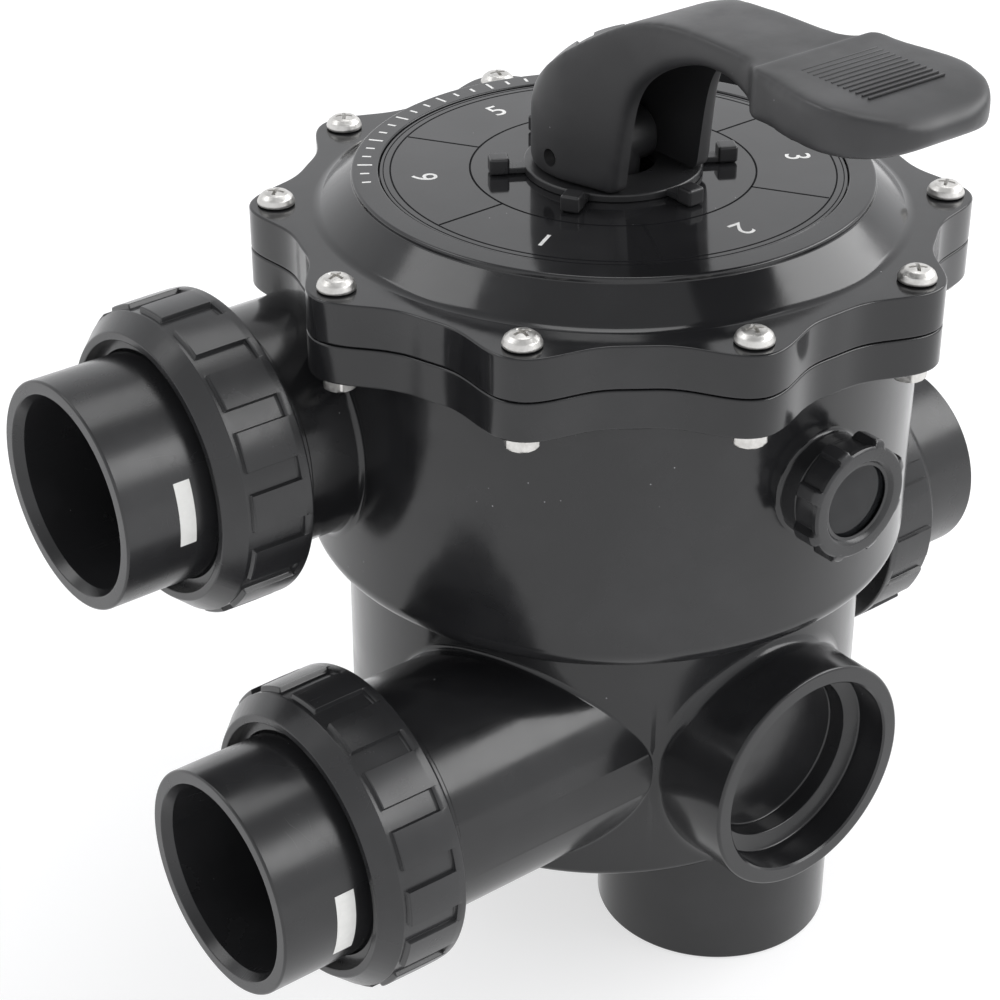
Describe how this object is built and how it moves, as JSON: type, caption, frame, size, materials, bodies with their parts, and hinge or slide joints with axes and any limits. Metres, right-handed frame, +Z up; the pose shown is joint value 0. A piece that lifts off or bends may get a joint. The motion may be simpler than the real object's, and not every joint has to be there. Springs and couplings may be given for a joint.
{
  "type": "multiport valve",
  "caption": "Black plastic multiport pool valve: bolted lobed lid with a dial and lifting lever handle, threaded pipe unions, sight glass and two blanked sockets.",
  "frame": {"origin": "where the valve's own axis meets the flat underside of the lower chamber", "axes": "+Z up the valve's axis, +X the way the two filter unions point, +Y the way the handle and the front blanked socket point"},
  "size_m": [0.3541, 0.3116, 0.315],
  "materials": {
    "housing_plastic": "moulded, glossy",
    "union_plastic": "moulded, satin gloss",
    "dial_plastic": "glossy with pale marks",
    "rotor_plastic": "moulded, satin",
    "handle_plastic": "fine satin grain",
    "steel": "stainless, satin",
    "rubber": "matte",
    "lens": "clear, dark behind"
  },
  "bodies": {
    "housing": {"upper_housing": "housing_plastic", "lower_chamber": "housing_plastic", "lid": "housing_plastic", "dial_plate": "dial_plastic", "index_ring": "housing_plastic", "screw_00": "steel", "screw_01": "steel", "screw_02": "steel", "screw_03": "steel", "screw_04": "steel", "screw_05": "steel", "screw_06": "steel", "screw_07": "steel", "screw_08": "steel", "screw_09": "steel", "nut_00": "steel", "nut_01": "steel", "nut_02": "steel", "nut_03": "steel", "nut_04": "steel", "nut_05": "steel", "nut_07": "steel", "nut_08": "steel", "filter_top_tail_piece": "union_plastic", "filter_bottom_tail_piece": "union_plastic", "return_tail_piece": "union_plastic", "pump_tail_piece": "union_plastic", "filter_top_o_ring": "rubber", "filter_bottom_o_ring": "rubber", "return_o_ring": "rubber", "pump_o_ring": "rubber", "sight_gasket": "rubber", "sight_lens": "lens", "spider_gasket": "rubber", "lid_o_ring": "rubber", "stem_o_ring_0": "rubber", "stem_o_ring_1": "rubber"},
    "spring_seat": {"spring_washer": "steel", "spring": "steel"},
    "rotor": {"rotor": "rotor_plastic", "stem": "rotor_plastic", "handle_pin": "steel"},
    "handle": {"handle": "handle_plastic"},
    "sight_nut": {"sight_ring_nut": "union_plastic"},
    "filter_top_nut": {"filter_top_union_nut": "union_plastic"},
    "filter_bottom_nut": {"filter_bottom_union_nut": "union_plastic"},
    "return_nut": {"return_union_nut": "union_plastic"},
    "pump_nut": {"pump_union_nut": "union_plastic"}
  },
  "joints": [
    {"name": "dial_turn", "type": "hinge", "parent": "housing", "child": "spring_seat", "pos_m": [0, 0, 0.1], "axis": [0, 0, 1], "continuous": true},
    {"name": "rotor_lift", "type": "slide", "parent": "spring_seat", "child": "rotor", "axis": [0, 0, 1], "range_m": [0, 0.006], "stiffness_N_per_m": 9800, "springref_m": -0.02, "deforming": ["spring"]},
    {"name": "handle_tilt", "type": "hinge", "parent": "rotor", "child": "handle", "pos_m": [0, 0, 0.2215], "axis": [-1, 0, 0], "range_deg": [0, 13.4]},
    {"name": "sight_nut_turn", "type": "hinge", "parent": "housing", "child": "sight_nut", "pos_m": [0, 0.1095, 0.1438], "axis": [0, 1, 0], "continuous": true},
    {"name": "filter_top_nut_turn", "type": "hinge", "parent": "housing", "child": "filter_top_nut", "pos_m": [0.138, -0.0367, 0.141], "axis": [1, 0, 0], "continuous": true},
    {"name": "filter_bottom_nut_turn", "type": "hinge", "parent": "housing", "child": "filter_bottom_nut", "pos_m": [0.138, 0.0367, 0.0415], "axis": [1, 0, 0], "continuous": true},
    {"name": "return_nut_turn", "type": "hinge", "parent": "housing", "child": "return_nut", "pos_m": [-0.118, -0.013, 0.049], "axis": [-1, 0, 0], "continuous": true},
    {"name": "pump_nut_turn", "type": "hinge", "parent": "housing", "child": "pump_nut", "pos_m": [-0.1195, -0.1195, 0.147], "axis": [-0.7071, -0.7071, 0], "continuous": true}
  ],
  "couplings": [
    {"joint": "handle_tilt", "follows": "rotor_lift", "rad_per_m": 38.91}
  ]
}
